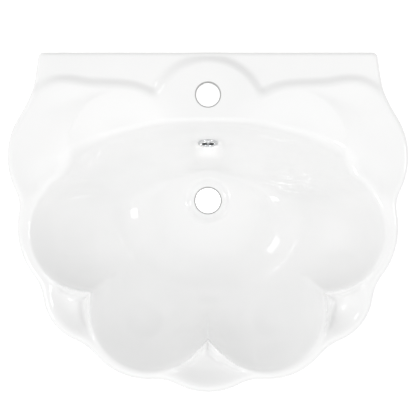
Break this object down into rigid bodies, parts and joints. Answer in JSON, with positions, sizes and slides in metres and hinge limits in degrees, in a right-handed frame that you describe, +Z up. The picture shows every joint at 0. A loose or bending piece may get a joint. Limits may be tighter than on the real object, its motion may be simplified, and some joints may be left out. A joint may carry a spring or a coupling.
{
  "type": "pedestal sink",
  "caption": "Scalloped white china pedestal sink: petal-edged basin with rear ledge, tap boss, overflow and drain hole, on a fluted hollow column.",
  "frame": {"origin": "on the floor, at the middle of the whole part's box, 26.5 mm in front of the drain's centre line", "axes": "+X to the user's right, +Y towards the wall, +Z up"},
  "size_m": [0.5718, 0.495, 0.86],
  "materials": {
    "vitreous_china": "glossy white glaze",
    "chrome": "polished",
    "zinc_steel": "bright zinc plate",
    "nylon": "natural nylon",
    "rubber": "matt black"
  },
  "bodies": {
    "root": {"basin": "vitreous_china", "pedestal": "vitreous_china", "overflow_ring": "chrome", "overflow_sleeve": "nylon", "wall_stud_left": "zinc_steel", "wall_stud_right": "zinc_steel", "bush_left": "nylon", "bush_right": "nylon", "washer_left": "zinc_steel", "washer_right": "zinc_steel", "nut_left": "zinc_steel", "nut_right": "zinc_steel", "pad_front_left": "rubber", "pad_front_right": "rubber", "pad_back_right": "rubber", "pad_back_left": "rubber"}
  },
  "joints": []
}
